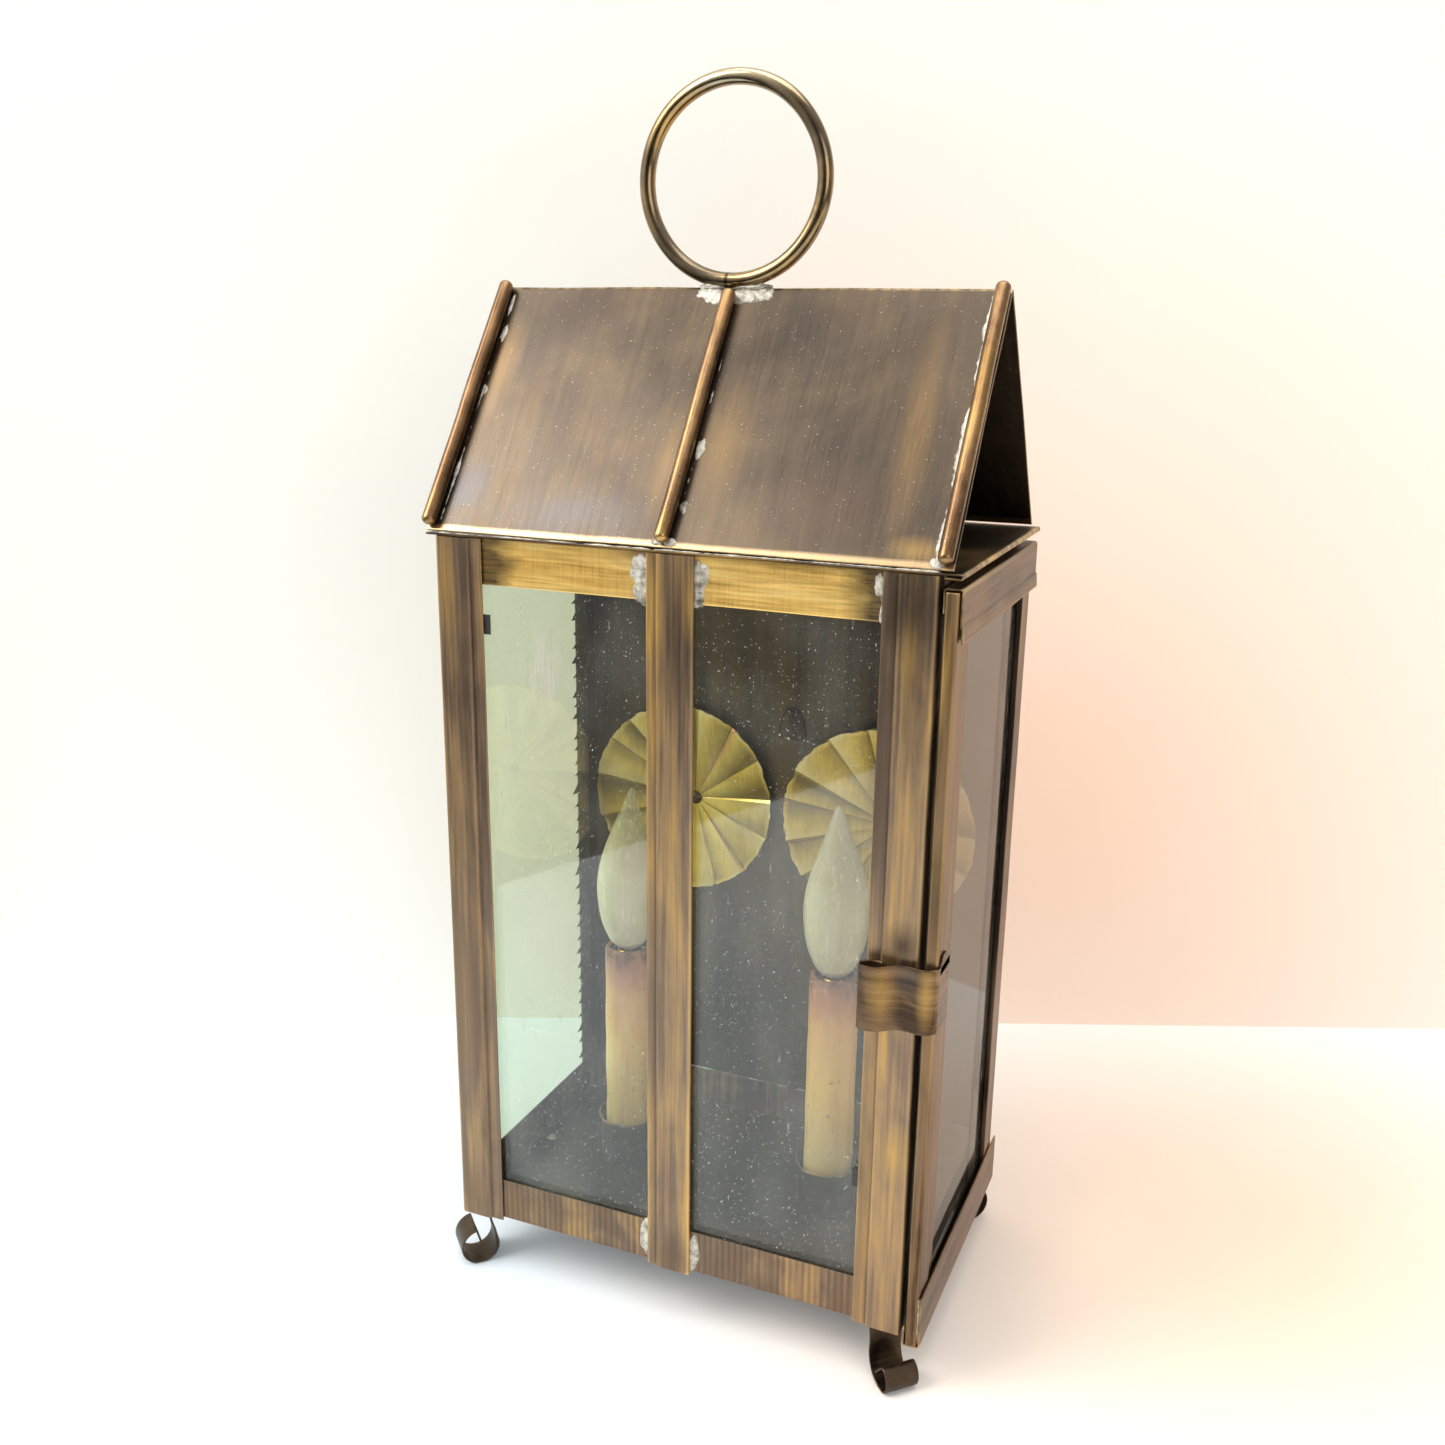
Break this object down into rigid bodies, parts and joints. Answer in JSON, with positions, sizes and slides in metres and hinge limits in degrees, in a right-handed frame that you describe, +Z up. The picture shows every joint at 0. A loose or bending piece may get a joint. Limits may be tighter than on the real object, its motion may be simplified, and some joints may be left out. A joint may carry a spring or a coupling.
{
  "type": "candle lantern",
  "caption": "Gabled brass lantern with glass sides, a hinged side door, electric candles in front of pleated reflectors, scroll feet and a carrying ring.",
  "frame": {"origin": "on the floor plane below the middle of the body, midway between the front and back faces", "axes": "+Z up, -Y to the front panes, +X to the side door"},
  "size_m": [0.2485, 0.1657, 0.5691],
  "materials": {
    "antique_brass": "aged, brushed, brown patina",
    "bright_brass": "worn and polished, golden",
    "window_glass": "clear, pale green",
    "candle_sleeve": "wax-like, cream, scorched at the top",
    "frosted_glass": "satin white",
    "black_plastic": "satin",
    "plated_brass": "bright plated"
  },
  "bodies": {
    "lantern": {"floor_pan": "antique_brass", "wiring_tray": "antique_brass", "post_front_left": "antique_brass", "post_front_right": "antique_brass", "back_panel": "antique_brass", "hanger_cap": "antique_brass", "front_muntin": "antique_brass", "left_top_rail": "antique_brass", "right_top_rail": "antique_brass", "glass_tab_front_left": "antique_brass", "glass_tab_front_right": "antique_brass", "glass_tab_side": "antique_brass", "roof_plate": "antique_brass", "roof_sheet": "antique_brass", "roof_rod_left": "antique_brass", "roof_rod_middle": "antique_brass", "roof_rod_right": "antique_brass", "ring_handle": "antique_brass", "foot_front_left": "antique_brass", "foot_front_right": "antique_brass", "foot_rear_left": "antique_brass", "foot_rear_right": "antique_brass", "reflector_rivet_left": "antique_brass", "reflector_rivet_right": "antique_brass", "candle_cup_left": "antique_brass", "candle_cup_right": "antique_brass", "hinge_leaf_body_upper": "antique_brass", "hinge_leaf_body_lower": "antique_brass", "hinge_pin_upper": "antique_brass", "hinge_pin_lower": "antique_brass", "front_top_rail": "bright_brass", "reflector_left": "bright_brass", "reflector_right": "bright_brass", "front_glass_left": "window_glass", "front_glass_right": "window_glass", "left_glass": "window_glass", "candle_sleeve_left": "candle_sleeve", "candle_sleeve_right": "candle_sleeve", "cord_bushing": "black_plastic", "lead_left": "black_plastic", "lead_right": "black_plastic", "socket_left": "black_plastic", "socket_right": "black_plastic", "nipple_left": "plated_brass", "nipple_right": "plated_brass", "locknut_left": "plated_brass", "locknut_right": "plated_brass"},
    "door": {"door_front_stile": "antique_brass", "door_rear_stile": "antique_brass", "door_top_rail": "antique_brass", "door_bottom_rail": "antique_brass", "door_glass": "window_glass", "hinge_leaf_door_upper": "antique_brass", "hinge_leaf_door_lower": "antique_brass"},
    "latch": {"latch_spring": "bright_brass"},
    "bulb_left": {"bulb_glass_left": "frosted_glass", "bulb_base_left": "plated_brass"},
    "bulb_right": {"bulb_glass_right": "frosted_glass", "bulb_base_right": "plated_brass"}
  },
  "joints": [
    {"name": "door_hinge", "type": "hinge", "parent": "lantern", "child": "door", "pos_m": [0.1188, 0.0742, 0.195], "axis": [0, 0, 1], "range_deg": [0, 115]},
    {"name": "latch_flex", "type": "hinge", "parent": "door", "child": "latch", "pos_m": [0.1237, -0.059, 0.1973], "axis": [0, 0, 1], "range_deg": [0, 12], "stiffness_Nm_per_rad": 6},
    {"name": "bulb_left_lift", "type": "slide", "parent": "lantern", "child": "bulb_left", "axis": [0, 0, 1], "range_m": [0, 0.024]},
    {"name": "bulb_right_lift", "type": "slide", "parent": "lantern", "child": "bulb_right", "axis": [0, 0, 1], "range_m": [0, 0.024]}
  ]
}
